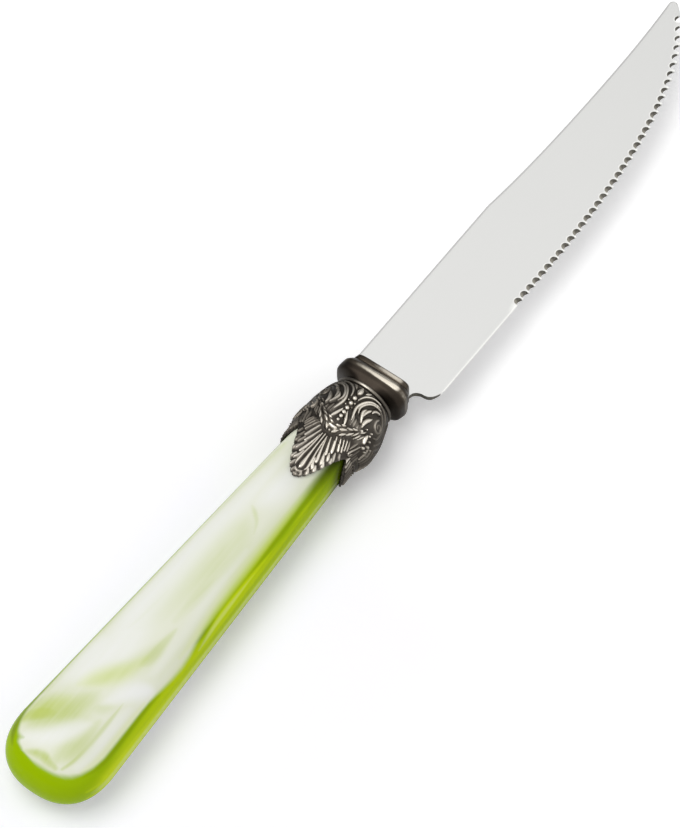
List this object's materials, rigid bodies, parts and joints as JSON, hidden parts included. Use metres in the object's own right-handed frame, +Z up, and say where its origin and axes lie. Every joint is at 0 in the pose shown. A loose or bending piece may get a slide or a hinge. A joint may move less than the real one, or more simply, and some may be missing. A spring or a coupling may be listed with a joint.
{
  "type": "steak knife",
  "caption": "Steak knife: serrated steel blade with a plain heel, cast collar, leaf-edged bulbous ferrule and a tapered pearl acrylic handle with a rounded butt",
  "frame": {"origin": "under the middle of the knife's bounding box, on the surface that it lies on", "axes": "+X along the knife from the butt to the tip, +Y from the cutting edge to the spine, +Z up from the surface"},
  "size_m": [0.2202, 0.0226, 0.0152],
  "materials": {
    "blade_steel": "satin",
    "collar_pewter": "satin",
    "ferrule_pewter": "satin",
    "handle_acrylic": "polished",
    "adhesive": "satin"
  },
  "bodies": {
    "root": {"blade": "blade_steel", "bolster_collar": "collar_pewter", "ferrule": "ferrule_pewter", "handle": "handle_acrylic", "ferrule_adhesive": "adhesive", "tang_adhesive": "adhesive"}
  },
  "joints": []
}
